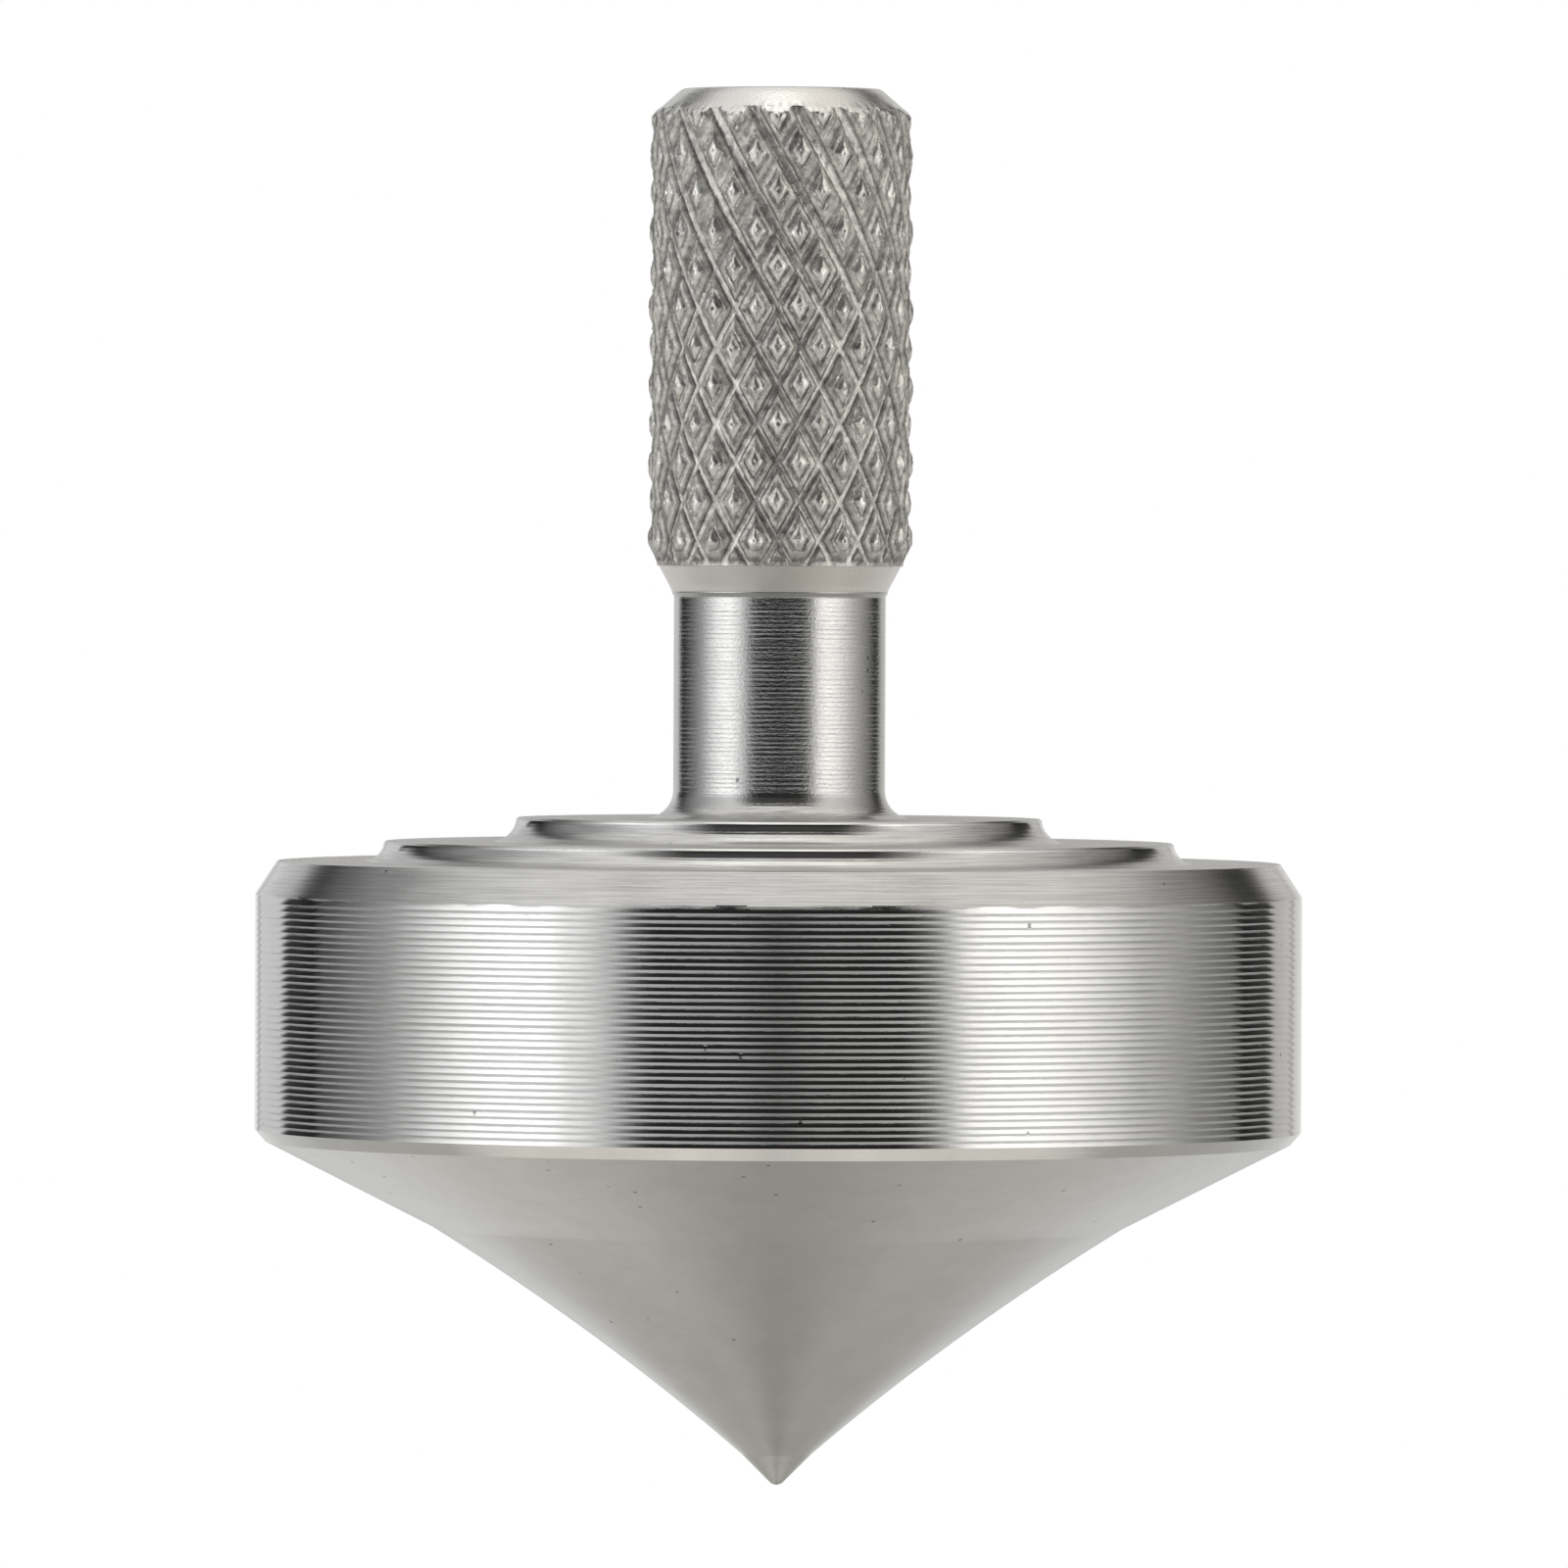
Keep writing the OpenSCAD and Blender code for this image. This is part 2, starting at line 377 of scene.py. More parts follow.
def make_stud():
    """The headless screw: a threaded side, two chamfered ends and a hexagon socket."""
    columns = 48
    rows_each_turn = 14
    length = STUD_TOP - STUD_FOOT
    rows = round(length / THREAD_PITCH * rows_each_turn)
    verts, faces = [], []

    def thread_r(a, z):
        """Radius of the thread's side at an angle and a height above the stud's foot. The crest takes an
        eighth of the pitch and the root a quarter, as on any metric thread."""
        phase = (z / THREAD_PITCH - a / (2 * math.pi)) % 1
        flank = abs(phase - 0.5) * 2
        depth = THREAD_DEPTH * min(1, max(0, (flank - 1 / 8) / (5 / 8)))
        end = min(z, length - z)
        return min(STUD_R - depth, STUD_R - STUD_CHAMFER + end)

    for j in range(rows + 1):
        z = length * j / rows
        for i in range(columns):
            a = 2 * math.pi * i / columns
            r = thread_r(a, z)
            verts.append((r * math.cos(a), r * math.sin(a), STUD_FOOT + z))
    for j in range(rows):
        for i in range(columns):
            k = (i + 1) % columns
            a, b = j * columns, (j + 1) * columns
            faces.append((a + i, a + k, b + k, b + i))
    foot = len(verts)
    verts.append((0, 0, STUD_FOOT))
    for i in range(columns):
        faces.append((foot, (i + 1) % columns, i))
    # the socket's mouth and floor have one point for each column, on the hexagon's sides
    rings = []
    for depth in (0, HEX_DEPTH):
        ring = []
        for i in range(columns):
            a = 2 * math.pi * i / columns
            off = (a + math.pi / 6) % (math.pi / 3) - math.pi / 6
            r = HEX_WIDTH / 2 / math.cos(off)
            ring.append(len(verts))
            verts.append((r * math.cos(a), r * math.sin(a), STUD_TOP - depth))
        rings.append(ring)
    top = rows * columns
    floor = len(verts)
    verts.append((0, 0, STUD_TOP - HEX_DEPTH - HEX_DRILL))
    for i in range(columns):
        k = (i + 1) % columns
        faces.append((top + i, top + k, rings[0][k], rings[0][i]))
        faces.append((rings[0][i], rings[0][k], rings[1][k], rings[1][i]))
        faces.append((rings[1][i], rings[1][k], floor))
    return add_object("stud_threaded", verts, faces, crease_angle=25)


# ---------------------------------------------------------------- knurl


def smoothstep(low, high, x):
    t = min(1, max(0, (x - low) / (high - low)))
    return t * t * (3 - 2 * t)


def cell_value(m, n, salt):
    """A number from 0 to 1 that belongs to one diamond."""
    return random.Random((m * 92821 + n * 68917 + salt * 31) ^ SEED).random()


def side_height(steps):
    """Height above the groove's floor at a number of steps from the groove."""
    steps = min(max(steps, 0), CELL_HALF)
    k = min(int(steps), CELL_HALF - 1)
    return CELL_SIDE[k] + (CELL_SIDE[k + 1] - CELL_SIDE[k]) * (steps - k)


def knurl_height(a, b, up):
    """Height of the knurl above its grooves, from places a round and b up it, in diamonds. up is the share of
    the head's height, because the two families of grooves are cut unevenly towards the top."""
    u, v = a + b + 0.5, a - b + 0.5
    m, n = math.floor(u), math.floor(v)
    uneven = smoothstep(UNEVEN_FROM, UNEVEN_TO, up)
    spread = 1 - WIDER_SPREAD + WIDER_SPREAD * noise.noise((n * 0.7, m * 0.7, 3))
    wide_u = WIDER * uneven * spread
    shallow_v = SHALLOWER * uneven
    du = min(u - m, 1 - (u - m)) * 2 * CELL_HALF
    dv = min(v - n, 1 - (v - n)) * 2 * CELL_HALF
    lean_u = CELL_LEAN * (cell_value(m, n, 1) - 0.5)
    lean_v = CELL_LEAN * (cell_value(m, n, 2) - 0.5)
    iu = min(u - m + lean_u, 1 - (u - m) - lean_u) * 2 * CELL_HALF
    iv = min(v - n + lean_v, 1 - (v - n) - lean_v) * 2 * CELL_HALF
    along_u = side_height(max(0, du - wide_u) if du < INNER else min(du, INNER))
    along_v = side_height(min(dv, INNER))
    along_v = along_v + (CELL_SIDE[INNER] - along_v) * shallow_v
    outer = min(along_u, along_v)
    if min(du, dv) < INNER:
        return outer
    inner = side_height(max(INNER, min(iu, iv)))
    size = CELL_SIZE[0] + (CELL_SIZE[1] - CELL_SIZE[0]) * cell_value(m, n, 3)
    return CELL_SIDE[INNER] + (inner - CELL_SIDE[INNER]) * min(1, size) * (1 - FLATTER * uneven)


def make_head():
    """The knurled head, the cord hole, the knot's chamber and the tapped lower end."""
    columns = DIAMONDS * CELL_STEPS
    low = SEAM + HEAD_CONE
    high = TOP - (GROOVE_R - TOP_FLAT_R) / CROWN_SLOPE
    rows = round((high - low) / DIAMOND_H * CELL_STEPS)
    verts, faces = [], []

    def ring(r, z):
        start = len(verts)
        for i in range(columns):
            a = 2 * math.pi * i / columns
            verts.append((r * math.cos(a), r * math.sin(a), z))
        return start

    def stitch(a, b):
        for i in range(columns):
            k = (i + 1) % columns
            faces.append((a + i, a + k, b + k, b + i))

    def end_limit(z):
        """Radius that the rounded ends leave free."""
        if z < low + RUN_OUT:
            return RUN_OUT_R + RUN_OUT_RISE * smoothstep(low, low + RUN_OUT, z)
        return min(CREST_R, TOP_FLAT_R + (TOP - z) * CROWN_SLOPE)

    knurl_start = len(verts)
    a_shift = -KNURL_TURN / (2 * math.pi) * DIAMONDS
    a_shift = round(a_shift * CELL_STEPS) / CELL_STEPS
    first = round((low - KNURL_LEVEL) / DIAMOND_H * CELL_STEPS)
    for j in range(rows + 1):
        z = low + (high - low) * j / rows
        b = (first + j) / CELL_STEPS
        for i in range(columns):
            a = i / CELL_STEPS + a_shift
            t = 2 * math.pi * i / columns
            r = GROOVE_R + knurl_height(a, b, j / rows)
            spot = Vector((math.cos(t) * r, math.sin(t) * r, z))
            grit = 0.6 * noise.noise(spot * 4) + 0.8 * noise.noise(spot * 10)
            r = min(end_limit(z + GRIT_CUT * grit), r + GRIT * grit, CREST_R)
            verts.append((r * math.cos(t), r * math.sin(t), z))
    for j in range(rows):
        for i in range(columns):
            k = (i + 1) % columns
            p, q = knurl_start + j * columns, knurl_start + (j + 1) * columns
            a = (i + 0.5) / CELL_STEPS + a_shift
            b = (first + j + 0.5) / CELL_STEPS
            u, v = (a + b + 0.5) % 1, (a - b + 0.5) % 1
            if min(u, 1 - u) < min(v, 1 - v):
                faces.append((p + i, p + k, q + i))
                faces.append((p + k, q + k, q + i))
            else:
                faces.append((p + i, p + k, q + k))
                faces.append((p + i, q + k, q + i))
    knurl_end = knurl_start + rows * columns

    # the outside above the knurl, then down the cord hole
    chamber = TOP - CORD_L - (CORE_R - CORD_R) / math.tan(DRILL_ANGLE)
    socket_r = STUD_R + THREAD_GAP
    socket_end = STUD_TOP + END_GAP
    crown_end = (TOP_FLAT_R + CROWN_BREAK[0], TOP - CROWN_BREAK[1])
    cone_foot = (HEAD_CONE_FOOT[0], SEAM + HEAD_CONE_FOOT[1])
    above = join(
        line((GROOVE_R - FACE_BREAK, high + FACE_BREAK), crown_end, steps=3),
        [(TOP_FLAT_R - CROWN_ROUND, TOP), (CORD_R + CORD_BREAK, TOP)],
        [(CORD_R, TOP - CORD_BREAK), (CORD_R, TOP - CORD_L)],
        [(CORE_R, chamber), (CORE_R, socket_end)],
        [(socket_r, socket_end), (socket_r, SEAM + HOLE_BREAK)],
        [(socket_r + HOLE_BREAK, SEAM), (COLLAR_R - FACE_BREAK, SEAM)],
        [(COLLAR_R, SEAM + FACE_BREAK)],
        line(cone_foot, (HEAD_CONE_END[0], low - HEAD_CONE_END[1]), steps=4),
    )
    last = knurl_end
    for r, z in above:
        now = ring(r, z)
        stitch(last, now)
        last = now
    stitch(last, knurl_start)
    return add_object("head_knurled", verts, faces, crease_angle=32)


# ---------------------------------------------------------------- materials


class Nodes:
    """Short hand for building a node tree."""

    def __init__(self, tree):
        self.tree = tree

    def add(self, kind, **values):
        node = self.tree.nodes.new(kind)
        for key, value in values.items():
            setattr(node, key, value)
        return node

    def link(self, output, node, socket):
        self.tree.links.new(output, node.inputs[socket])

    def math(self, operation, a, b=None, c=None):
        node = self.add("ShaderNodeMath", operation=operation)
        for k, value in enumerate((a, b, c)):
            if value is None:
                continue
            if isinstance(value, (int, float)):
                node.inputs[k].default_value = value
            else:
                self.tree.links.new(value, node.inputs[k])
        return node.outputs[0]

    def combine(self, x, y, z):
        node = self.add("ShaderNodeCombineXYZ")
        for k, value in enumerate((x, y, z)):
            if isinstance(value, (int, float)):
                node.inputs[k].default_value = value
            else:
                self.tree.links.new(value, node.inputs[k])
        return node.outputs[0]

    def noise(self, vector, scale, detail=2.0, roughness=0.5):
        node = self.add("ShaderNodeTexNoise")
        node.inputs["Scale"].default_value = scale
        node.inputs["Detail"].default_value = detail
        node.inputs["Roughness"].default_value = roughness
        self.link(vector, node, "Vector")
        return node.outputs[0]

    def ramp(self, factor, stops, interpolation="LINEAR"):
        """A colour ramp. stops are (place, colour or grey level)."""
        node = self.add("ShaderNodeValToRGB")
        node.color_ramp.interpolation = interpolation
        elements = node.color_ramp.elements
        while len(elements) < len(stops):
            elements.new(0.5)
        for element, (place, colour) in zip(elements, sorted(stops, key=lambda s: s[0])):
            element.position = place
            if isinstance(colour, (int, float)):
                colour = (colour, colour, colour)
            element.color = (*colour, 1)
        self.link(factor, node, "Fac")
        return node.outputs[0]

    def mix(self, factor, a, b, blend="MIX"):
        """Mixes two colours."""
        node = self.add("ShaderNodeMix", data_type="RGBA", blend_type=blend)
        for socket, value in ((0, factor), (6, a), (7, b)):
            if isinstance(value, (int, float)):
                node.inputs[socket].default_value = value
            elif isinstance(value, tuple):
                node.inputs[socket].default_value = (*value, 1)
            else:
                self.tree.links.new(value, node.inputs[socket])
        return node.outputs[2]

    def scale_range(self, value, low, high, to_low, to_high):
        node = self.add("ShaderNodeMapRange")
        for socket, number in zip(("From Min", "From Max", "To Min", "To Max"), (low, high, to_low, to_high)):
            node.inputs[socket].default_value = number
        self.link(value, node, "Value")
        return node.outputs[0]

    def bump(self, height, distance, strength=1.0, normal=None):
        node = self.add("ShaderNodeBump")
        node.inputs["Distance"].default_value = distance
        node.inputs["Strength"].default_value = strength
        self.link(height, node, "Height")
        if normal is not None:
            self.link(normal, node, "Normal")
        return node.outputs[0]


# What the steel is like. Lengths are in metres, colours are linear. A pair gives the least and the greatest.
BLEND = 0.00002
LINE_DEPTH = 0.000001
BLOTCH_SCALE = 900
GRAIN_SCALE = 16000
# How fast each kind of tool line changes on its way round
LONG_TURN = 2.0
STREAK_TURN = 5.0
SHORT_TURN = 28.0
DASH_TURN = 90.0
STREAK = (0.84, 1.1)
STREAK_ABOVE = 0.92
PIT_SCALE = 1100
PIT_CHOSEN = (0.6, 0.62)
PIT_SIDE = (0.03, 0.09)
# Painted shade in the pits: its colour, and how strongly it is mixed in
PIT_SHADE_COLOUR = (0.05, 0.05, 0.045)
PIT_SHADE_STRENGTH = 0.65
# Upward part of a face's normal: where a face starts to count as level, and where a slope gets rougher
LEVEL = (0.975, 0.99)
SLOPE = (0.3, 0.97)
LEVEL_ROUGH = 0.55
SLOPE_ROUGH = (0.05, 0.3)
WAVE = 0.00008
WAVE_SCALE = 9000
DAPPLE_SCALE = 3200
DAPPLE = (0.52, 1.34)
CROWN_COLOUR = (0.74, 0.735, 0.72)
CROWN_ROUGH = (0.14, 0.14, 0.14)
CONE_COLOUR = (0.97, 0.94, 0.89)
CONE_ROUGH = (0.3, 0.3, 0.3)
# Heights from the origin: top of the ground cone, foot of the chamfer, foot of the neck, foot of the knurl
CONE_TOP = (GROUND_TOP + TIP_Z) * MM
MARKS_LOW = (RIM_TOP + TIP_Z) * MM
NECK_LOW = (HIGH_STEP[1] + NECK_FINISH + TIP_Z) * MM
LOW_CONE_TOP = (SEAM + HEAD_CONE + TIP_Z) * MM
CROWN_CONE = (CROWN_SLOPE, TOP_FLAT_R * MM)
# Radius of the groove's floor and of the highest tips, and the colour and roughness between them. The
# colour is partly the steel's own, pale in the burnished grooves, and partly painted light: painted shade
# on the dark lines at the grooves' lips and round each diamond's raised middle, and a painted highlight on
# the raised middles.
KNURL_RANGE = (0.0035, 0.0038)
KNURL_TINT_AND_PAINTED_LIGHT = [
    (0.00350, 0.88), (0.00353, 0.85), (0.00354, 0.42), (0.00356, 0.5), (0.00360, 0.86), (0.00366, 0.98),
    (0.003685, 0.5), (0.0037, 1.04), (0.0038, 1.1),
]
KNURL_ROUGH = [
    (0.00350, 0.38), (0.00353, 0.4), (0.00356, 0.52), (0.00369, 0.46), (0.00371, 0.32), (0.0038, 0.32),
]


def pitted(n, place, normal, colour, depth):
    """Adds small pits to a normal, and painted shade in them to a colour."""
    spots = n.add("ShaderNodeTexVoronoi")
    spots.inputs["Scale"].default_value = PIT_SCALE
    n.link(place, spots, "Vector")
    chosen = n.add("ShaderNodeSeparateColor")
    n.link(spots.outputs["Color"], chosen, "Color")
    # clear is 0 in a pit and 1 away from one
    away = n.scale_range(chosen.outputs[0], *PIT_CHOSEN, 1, 0)
    clear = n.math("MAXIMUM", n.scale_range(spots.outputs["Distance"], *PIT_SIDE, 0.0, 1.0), away)
    # the pits' dark colour is painted shade
    colour = n.mix(n.scale_range(clear, 0, 1, PIT_SHADE_STRENGTH, 0), colour, PIT_SHADE_COLOUR)
    return n.bump(clear, depth, normal=normal), colour


def knurled(n, place, radius, z, up, colour, tint_and_light_stops, rough_stops, crown):
    """Colour and roughness of the knurl by radius, and of the plain cone under it and the crown over it. The
    colour by radius holds painted shade and painted highlights as well as the steel's own tone.
    """
    low, high = KNURL_RANGE
    wavy = n.math("MULTIPLY_ADD", n.noise(place, WAVE_SCALE, 3.0), WAVE, radius)
    level = n.scale_range(wavy, low + WAVE / 2, high + WAVE / 2, 0, 1)
    dapple = n.scale_range(n.noise(place, DAPPLE_SCALE, 4.0, 0.7), 0.3, 0.7, *DAPPLE)
    # painted shade on the lines round each diamond and a painted highlight on its raised middle, by radius
    tint_and_light = n.ramp(level, [((r - low) / (high - low), value) for r, value in tint_and_light_stops])
    tint_and_light = n.mix(1.0, tint_and_light, n.combine(dapple, dapple, dapple), "MULTIPLY")
    colour = n.mix(1.0, colour, tint_and_light, "MULTIPLY")
    worn = n.ramp(level, [((r - low) / (high - low), value) for r, value in rough_stops])
    # the turned crown is a cone that cuts across the diamonds
    slope, flat_r = crown
    cone = n.math("MULTIPLY_ADD", z, slope, radius)
    below = n.scale_range(cone, flat_r - 1.5 * BLEND, flat_r - 0.5 * BLEND, 1, 0)
    below = n.math("MULTIPLY", below, n.scale_range(up, *LEVEL, 1, 0))
    colour = n.mix(below, CROWN_COLOUR, colour)
    worn = n.mix(below, CROWN_ROUGH, worn)
    plain = n.scale_range(z, LOW_CONE_TOP - BLEND, LOW_CONE_TOP + BLEND, 1, 0)
    return n.mix(plain, colour, CONE_COLOUR), n.mix(plain, worn, CONE_ROUGH)


def steel(name, tints, roughness, line_pitch, pits=0.0, grit=0.3, satin=None, above=(), knurl=None):
    """Bare turned steel. tints and roughness are (low, high) pairs. pits is the depth of small pits, whose
    dark colour is painted shade, and grit the depth of the grain against that of the tool lines. satin is the
    height under which the surface is ground, and how rough it is there. above is (height, times) pairs: over
    each height the tool marks are that many times deeper; from the first to the last the colour is streaked,
    and over the last it is darker. knurl is the tints by radius, which hold painted shade and painted
    highlights, the roughness by radius, and the cone of the turned crown: how much the radius falls for each
    unit of height, and the radius at the top face."""
    material = bpy.data.materials.new(name)
    material.use_nodes = True
    tree = material.node_tree
    tree.nodes.clear()
    n = Nodes(tree)
    shader = n.add("ShaderNodeBsdfPrincipled")
    shader.inputs["Metallic"].default_value = 1.0
    output = n.add("ShaderNodeOutputMaterial")
    n.link(shader.outputs[0], output, "Surface")

    coordinates = n.add("ShaderNodeTexCoord")
    place = coordinates.outputs["Object"]
    split = n.add("ShaderNodeSeparateXYZ")
    n.link(place, split, "Vector")
    x, y, z = split.outputs
    facing = n.add("ShaderNodeSeparateXYZ")
    n.link(coordinates.outputs["Normal"], facing, "Vector")
    up = facing.outputs[2]
    radius = n.math("POWER", n.math("ADD", n.math("MULTIPLY", x, x), n.math("MULTIPLY", y, y)), 0.5)
    around = n.math("ARCTAN2", y, x)

    def lines(pitch, turns):
        """Noise drawn out round the axis, as a tool leaves it."""
        fine = n.combine(
            n.math("MULTIPLY", radius, 1 / pitch),
            n.math("MULTIPLY", z, 1 / pitch),
            n.math("MULTIPLY", around, turns),
        )
        return n.noise(fine, 1.0, 3.0, 0.6)

    long_lines = lines(line_pitch, LONG_TURN)
    short_lines = lines(line_pitch * 0.8, SHORT_TURN)
    blotch = n.noise(place, BLOTCH_SCALE, 3.0)
    grain = n.noise(place, GRAIN_SCALE, 2.0)
    dashes = n.math("MULTIPLY", lines(line_pitch, DASH_TURN), 0.7)
    marks = n.math("ADD", long_lines, n.math("ADD", n.math("MULTIPLY", short_lines, 0.9), dashes))
    streaks = n.scale_range(lines(line_pitch * 0.8, STREAK_TURN), 0.36, 0.64, *STREAK)
    streaked = 0.0
    for height, times in above:
        over = n.scale_range(z, height - BLEND, height + BLEND, 0, 1)
        marks = n.math("MULTIPLY", marks, n.scale_range(over, 0, 1, 1, times))
        streaked = n.math("MAXIMUM", streaked, over)
    normal = n.bump(marks, LINE_DEPTH)
    normal = n.bump(grain, LINE_DEPTH * grit, normal=normal)
    shade = n.math("ADD", n.math("MULTIPLY", blotch, 0.6), n.math("MULTIPLY", short_lines, 0.4))
    colour = n.ramp(shade, [(0.3, tints[0]), (0.7, tints[1])])
    if above:
        last = above[-1][0]
        streaked = n.math("MULTIPLY", streaked, n.scale_range(z, last, last + BLEND, 1, 0))
        streaks = n.math("MULTIPLY_ADD", n.math("SUBTRACT", streaks, 1), streaked, 1)
        streaks = n.math("MULTIPLY", streaks, n.scale_range(z, last, last + BLEND, 1, STREAK_ABOVE))
        colour = n.mix(1.0, colour, n.combine(streaks, streaks, streaks), "MULTIPLY")
    if pits:
        normal, colour = pitted(n, place, normal, colour, pits)
    rough = n.math("ADD", n.math("MULTIPLY", grain, 0.5), n.math("MULTIPLY", blotch, 0.5))
    rough = n.scale_range(rough, 0.3, 0.7, *roughness)
    if satin:
        height, ground = satin
        under = n.scale_range(z, height - BLEND / 2, height + BLEND / 2, 1, 0)
        rough = n.math("MAXIMUM", rough, n.math("MULTIPLY", under, ground))
        rough = n.math("MAXIMUM", rough, n.scale_range(up, *SLOPE, *SLOPE_ROUGH))
    if knurl:
        colour, worn = knurled(n, place, radius, z, up, colour, *knurl)
        rough = n.math("ADD", worn, n.scale_range(blotch, 0.3, 0.7, -0.05, 0.08))
    # faces that look straight up are matt
    rough = n.math("MAXIMUM", rough, n.scale_range(up, *LEVEL, 0, LEVEL_ROUGH))
    n.link(normal, shader, "Normal")
    n.link(colour, shader, "Base Color")
    n.link(rough, shader, "Roughness")
    return material


BODY_STEEL = steel(
    "turned_steel", ((0.59, 0.59, 0.585), (0.66, 0.66, 0.655)), (0.05, 0.10), line_pitch=0.00007,
    pits=0.000004, satin=(CONE_TOP, 0.22), above=((MARKS_LOW, 2.0), (NECK_LOW, 2.4)),
)
POINT_STEEL = steel("point_steel", ((0.54, 0.54, 0.53), (0.62, 0.62, 0.61)), (0.22, 0.30), line_pitch=0.00006)
STUD_STEEL = steel("stud_steel", ((0.20, 0.20, 0.21), (0.30, 0.30, 0.31)), (0.25, 0.4), line_pitch=0.00006)
HEAD_STEEL = steel(
    "knurled_steel", ((0.70, 0.685, 0.65), (0.89, 0.875, 0.83)), (0.3, 0.5), line_pitch=0.00005,
    pits=0.000003, grit=9.0, knurl=(KNURL_TINT_AND_PAINTED_LIGHT, KNURL_ROUGH, CROWN_CONE),
)

PIECES = [
    (make_body(), "body", "body", "turned_steel", BODY_STEEL),
    (make_point(), "body", "point", "point_steel", POINT_STEEL),
    (make_stud(), "stud", "neck_stud", "stud_steel", STUD_STEEL),
    (make_head(), "head", "knurled_head", "knurled_steel", HEAD_STEEL),
]
for piece, body, node, slot, material in PIECES:
    piece.data.materials.append(material)
    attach(piece, body)
    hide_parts(node)

# ---------------------------------------------------------------- studio

# The studio that the steel mirrors. A pair is a start and an end, in the direction's x, y or z unless it says
# otherwise. Walls have a level by the angle from the camera in degrees, positive to the right.
WALL_PEAK = 2.0
WALL = [
    (-180, 0.95), (-169, 0.84), (-165, 0.4), (-162, 0.72), (-142, 0.78), (-139, 0.05), (-122.5, 0.02),
    (-121, 0.08), (-115, 0.12), (-105, 0.25), (-95, 0.42), (-85, 0.84), (-75, 1.4), (-64, 1.78), (-52, 1.86),
    (-45, 1.22), (-36, 1.05), (-29, 0.2), (-22, 0.02), (13, 0.02), (16, 0.26), (22, 0.24), (25, 0.05),
    (33, 0.42), (40, 1.45), (52, 1.84), (66, 1.5), (85, 0.78), (105, 0.34), (120, 0.15), (122, 0.02),
    (138, 0.06), (141, 0.6), (154, 0.68), (157, 0.4), (160, 0.72), (180, 0.85),
]
UPPER = [
    (-180, 0.7), (-152, 0.66), (-138, 0.66), (-133, 0.54), (-129, 0.2), (-125, 0.08), (-121, 0.06),
    (-113, 0.17), (-100, 0.32), (-90, 0.4), (-82, 0.5), (-65, 0.76), (-50, 1.0), (-35, 0.6), (-20, 0.4),
    (20, 0.4), (35, 0.6), (50, 1.02), (65, 0.86), (82, 0.62), (90, 0.46), (100, 0.36), (113, 0.18),
    (120, 0.06), (129, 0.05), (134, 0.16), (138, 0.5), (143, 0.64), (180, 0.68),
]
# Share that the floor gains to the sides, by twice the distance from the middle
FLOOR_SIDE = [
    (0, 0), (0.12, 0.07), (0.24, 0.17), (0.36, 0.24), (0.42, 0.24), (0.52, 0.17), (0.64, 0.14), (0.9, 0.14),
]
LEAN = 0.3
UPPER_FROM = (0.14, 0.24)
CEILING = 0.96
CEILING_FROM = (0.60, 0.86)
CEILING_TINT = (1, 0.985, 0.96)
ZENITH = 1.5
ZENITH_FROM = (0.955, 0.99)
ZENITH_TINT = (1, 0.99, 0.95)
LAMP_FROM = (-0.2, 0.4)
LAMP_TINT = (1, 0.975, 0.94)
# The hood: its levels and the heights they belong to, its side edge in radians and its top edge
HOOD = (0.012, 0.04)
HOOD_HEIGHTS = (0.25, 0.45)
HOOD_SIDE = (0.45, 0.75)
HOOD_TOP = (0.80, 0.87)
# The floor: its own level, and what it gains towards the back, in front of the hood and under the camera
FLOOR_LEVEL = 0.39
FLOOR_FAR = 0.28
FLOOR_FAR_FROM = (0.68, 1.0)
FLOOR_FAR_POWER = 1.4
FLOOR_SHADE = -0.1
FLOOR_SHADE_FROM = (-0.78, -0.92)
FLOOR_FRONT = (-0.5, -0.3)
FLOOR_LAMPS = (0.03, 0.5)
FLOOR_LAMPS_FROM = (-0.05, -0.5)
FLOOR_NEAR = 0.42
FLOOR_NEAR_FROM = (0.0, -0.12)
FLOOR_NEAR_LOW = (-0.6, -0.8)
FLOOR_TOP = (-0.09, -0.05)
FLOOR_GREEN = (0.965, 0.998)
FLOOR_BLUE = (0.89, 0.985)

# The table top and the lamp, in metres and watts
FLOOR_DROP = 0.020
FLOOR_R = 0.22
FLOOR_CORNERS = 96
FLOOR_COLOUR = (0.86, 0.86, 0.85, 1)
FLOOR_ROUGH = 0.9
LAMP_SIZE = 0.8
LAMP_POWER = 8
LAMP_HEIGHT = 0.9

# The camera's place, aim and roll, in metres and radians, and its lens and sensor in millimetres
CAMERA_AT = (0.00014, -0.45, -0.0138)
CAMERA_AIM = (0.00014, 0, -0.0199)
CAMERA_ROLL = math.radians(0.23)
LENS = 360.5
SENSOR = 36


def wall_stops(levels):
    return [((angle + 180) / 360, level / WALL_PEAK) for angle, level in levels]


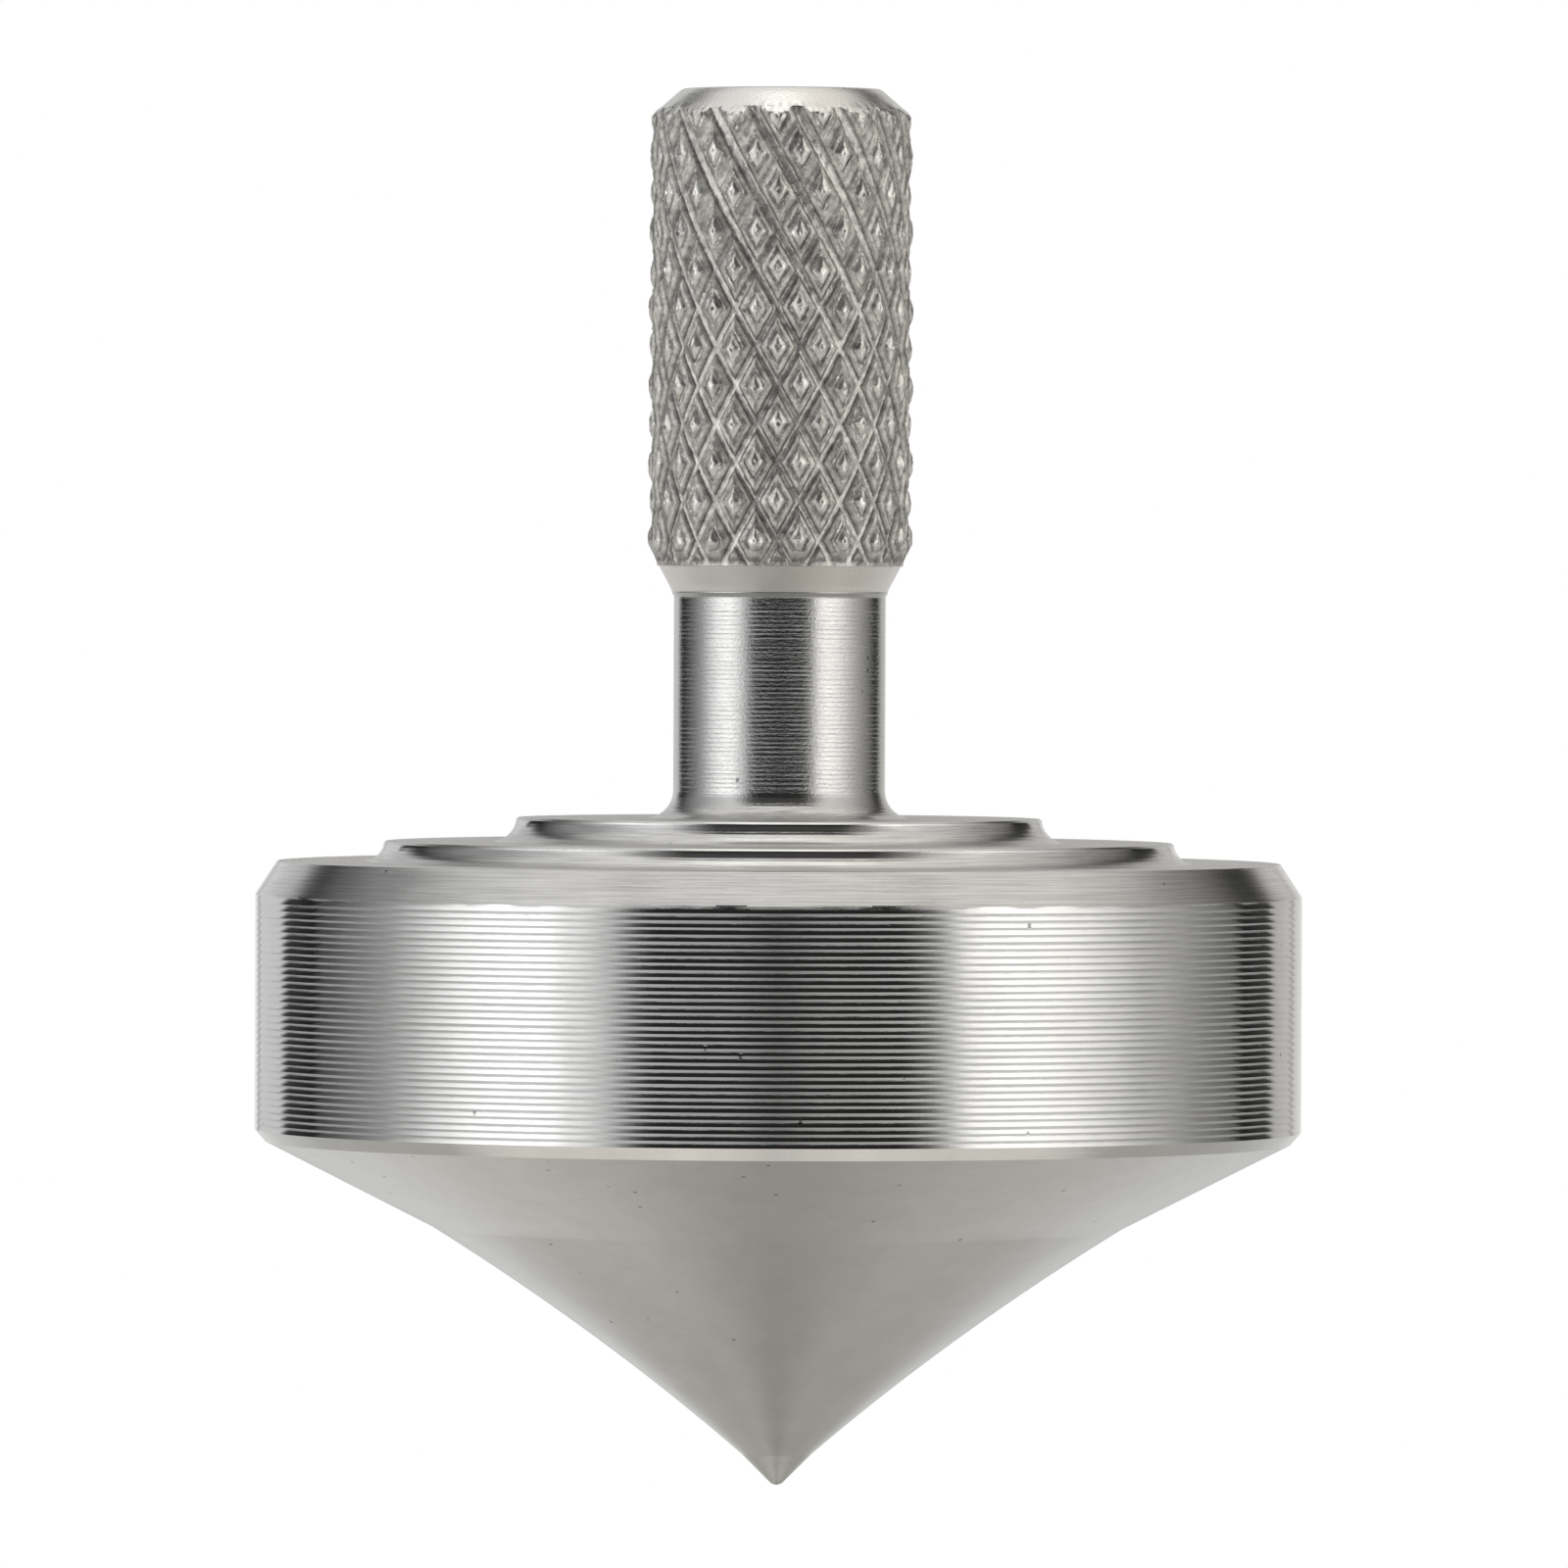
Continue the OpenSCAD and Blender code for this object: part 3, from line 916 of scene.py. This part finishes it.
def wall_light(n, x, y, z):
    """Colour of the walls, the ceiling and the hood in a direction."""
    # the walls lean outwards as they go up
    turn = n.math("ARCTAN2", x, n.math("MULTIPLY", y, -1))
    turn = n.math("MULTIPLY", turn, n.math("MULTIPLY_ADD", z, -LEAN, 1.0))
    place = n.math("ADD", n.math("DIVIDE", turn, 2 * math.pi), 0.5)
    left = n.ramp(place, wall_stops([stop for stop in WALL if stop[0] < 0]))
    right = n.ramp(place, wall_stops([stop for stop in WALL if stop[0] > 0]))
    wall = n.mix(n.math("GREATER_THAN", x, 0), left, right)
    upper = n.ramp(place, wall_stops(UPPER))
    walls = n.mix(n.scale_range(z, *UPPER_FROM, 0, 1), wall, upper)
    level = CEILING / WALL_PEAK
    walls = n.mix(n.scale_range(z, *CEILING_FROM, 0, 1), walls, tuple(level * c for c in CEILING_TINT))
    # the dark hood that the camera stands under
    beside = n.scale_range(n.math("ABSOLUTE", turn), *HOOD_SIDE, 0, 1)
    above = n.scale_range(z, *HOOD_TOP, 0, 1)
    hood = n.scale_range(z, *HOOD_HEIGHTS, *HOOD)
    walls = n.mix(n.math("MAXIMUM", beside, above), n.combine(hood, hood, hood), walls)
    level = ZENITH / WALL_PEAK
    walls = n.mix(n.scale_range(z, *ZENITH_FROM, 0, 1), walls, tuple(level * c for c in ZENITH_TINT))
    # daylight on the left, a warmer lamp on the right
    warm = n.mix(n.scale_range(x, *LAMP_FROM, 0, 1), (1, 1, 1), LAMP_TINT)
    return n.mix(1.0, walls, warm, "MULTIPLY")


def floor_light(n, x, y, z):
    """Colour of the floor in a direction. It is warmest straight below."""
    # the floor is lighter towards the back and towards the sides
    far = n.math("POWER", n.scale_range(y, *FLOOR_FAR_FROM, 0, 1), FLOOR_FAR_POWER)
    far = n.math("MULTIPLY", far, FLOOR_FAR)
    across = n.math("ABSOLUTE", x)
    side = n.ramp(n.math("MULTIPLY", across, 2), FLOOR_SIDE)
    side = n.math("MULTIPLY", side, n.scale_range(z, -0.9, -0.76, 0.55, 1))
    side = n.math("MULTIPLY", side, n.scale_range(z, -0.1, -0.45, 0.3, 1))
    side = n.math("MULTIPLY", side, n.scale_range(x, -0.15, 0.15, 1.15, 0.85))
    grey = n.math("ADD", n.math("ADD", far, side), FLOOR_LEVEL)
    # the floor is darker in front of the hood, and lighter under the lamps at its sides
    front = n.scale_range(z, *FLOOR_FRONT, 0, 1)
    shade = n.scale_range(y, *FLOOR_SHADE_FROM, 0, FLOOR_SHADE)
    grey = n.math("ADD", grey, n.math("MULTIPLY", shade, front))
    lamps = n.math("MULTIPLY", across, n.scale_range(y, *FLOOR_LAMPS_FROM, *FLOOR_LAMPS))
    grey = n.math("ADD", grey, n.math("MULTIPLY", lamps, front))
    # the light comes back up from under the camera
    near = n.scale_range(n.math("MULTIPLY_ADD", across, -0.6, y), *FLOOR_NEAR_FROM, 0, FLOOR_NEAR)
    near = n.math("MULTIPLY", near, n.scale_range(z, *FLOOR_NEAR_LOW, 0, 1))
    grey = n.math("DIVIDE", n.math("ADD", grey, near), WALL_PEAK)
    down = n.scale_range(z, -0.75, -0.35, 0, 1)
    return n.combine(
        grey,
        n.math("MULTIPLY", grey, n.scale_range(down, 0, 1, *FLOOR_GREEN)),
        n.math("MULTIPLY", grey, n.scale_range(down, 0, 1, *FLOOR_BLUE)),
    )


def make_world():
    """A white studio. What the steel mirrors has pale walls, dark gaps between them and a grey floor."""
    world = bpy.data.worlds.new("studio")
    world.use_nodes = True
    tree = world.node_tree
    tree.nodes.clear()
    n = Nodes(tree)
    split = n.add("ShaderNodeSeparateXYZ")
    n.link(n.add("ShaderNodeTexCoord").outputs["Generated"], split, "Vector")
    x, y, z = split.outputs
    walls = wall_light(n, x, y, z)
    floor = floor_light(n, x, y, z)
    room = n.mix(n.scale_range(z, *FLOOR_TOP, 0, 1), floor, walls)
    # the camera itself sees plain white
    seen = n.add("ShaderNodeBackground")
    seen.inputs["Color"].default_value = (1, 1, 1, 1)
    seen.inputs["Strength"].default_value = 1.0
    lit = n.add("ShaderNodeBackground")
    lit.inputs["Strength"].default_value = WALL_PEAK
    n.link(room, lit, "Color")
    choose = n.add("ShaderNodeMixShader")
    n.link(n.add("ShaderNodeLightPath").outputs["Is Camera Ray"], choose, 0)
    n.link(lit.outputs[0], choose, 1)
    n.link(seen.outputs[0], choose, 2)
    n.link(choose.outputs[0], n.add("ShaderNodeOutputWorld"), "Surface")
    bpy.context.scene.world = world


def make_floor():
    """A pale round table top a little way below the hanging point. The steel doesn't mirror it."""
    z = POINT_LOW.z - FLOOR_DROP
    angles = [2 * math.pi * i / FLOOR_CORNERS for i in range(FLOOR_CORNERS)]
    edge = [(FLOOR_R * math.cos(a), FLOOR_R * math.sin(a), z) for a in angles]
    mesh = bpy.data.meshes.new("floor")
    mesh.from_pydata(edge, [], [tuple(range(FLOOR_CORNERS))])
    floor = bpy.data.objects.new("floor", mesh)
    bpy.context.scene.collection.objects.link(floor)
    material = bpy.data.materials.new("floor_paint")
    material.use_nodes = True
    n = Nodes(material.node_tree)
    shader = material.node_tree.nodes["Principled BSDF"]
    shader.inputs["Base Color"].default_value = FLOOR_COLOUR
    shader.inputs["Roughness"].default_value = FLOOR_ROUGH
    # it can't be seen from underneath
    through = n.add("ShaderNodeMixShader")
    n.link(n.add("ShaderNodeNewGeometry").outputs["Backfacing"], through, 0)
    n.link(shader.outputs[0], through, 1)
    n.link(n.add("ShaderNodeBsdfTransparent").outputs[0], through, 2)
    n.link(through.outputs[0], material.node_tree.nodes["Material Output"], "Surface")
    mesh.materials.append(material)
    floor.visible_glossy = False


def make_light():
    """A wide soft light overhead, for the floor."""
    data = bpy.data.lights.new("overhead", "AREA")
    data.shape = "DISK"
    data.size = LAMP_SIZE
    data.energy = LAMP_POWER
    light = bpy.data.objects.new("overhead", data)
    light.location = (0, 0, LAMP_HEIGHT)
    light.visible_glossy = False
    bpy.context.scene.collection.objects.link(light)


def make_camera():
    """The camera stands level with the lower end of the head and looks slightly down."""
    data = bpy.data.cameras.new("camera")
    data.sensor_width = SENSOR
    data.lens = LENS
    data.clip_start = 0.01
    data.clip_end = 20
    camera = bpy.data.objects.new("camera", data)
    camera.location = CAMERA_AT
    aim = Vector(CAMERA_AIM) - camera.location
    turn = aim.to_track_quat("-Z", "Y").to_euler()
    turn.rotate_axis("Z", CAMERA_ROLL)
    camera.rotation_euler = turn
    bpy.context.scene.collection.objects.link(camera)
    bpy.context.scene.camera = camera


make_world()
make_floor()
make_light()
make_camera()
bpy.context.scene.view_settings.view_transform = "Standard"
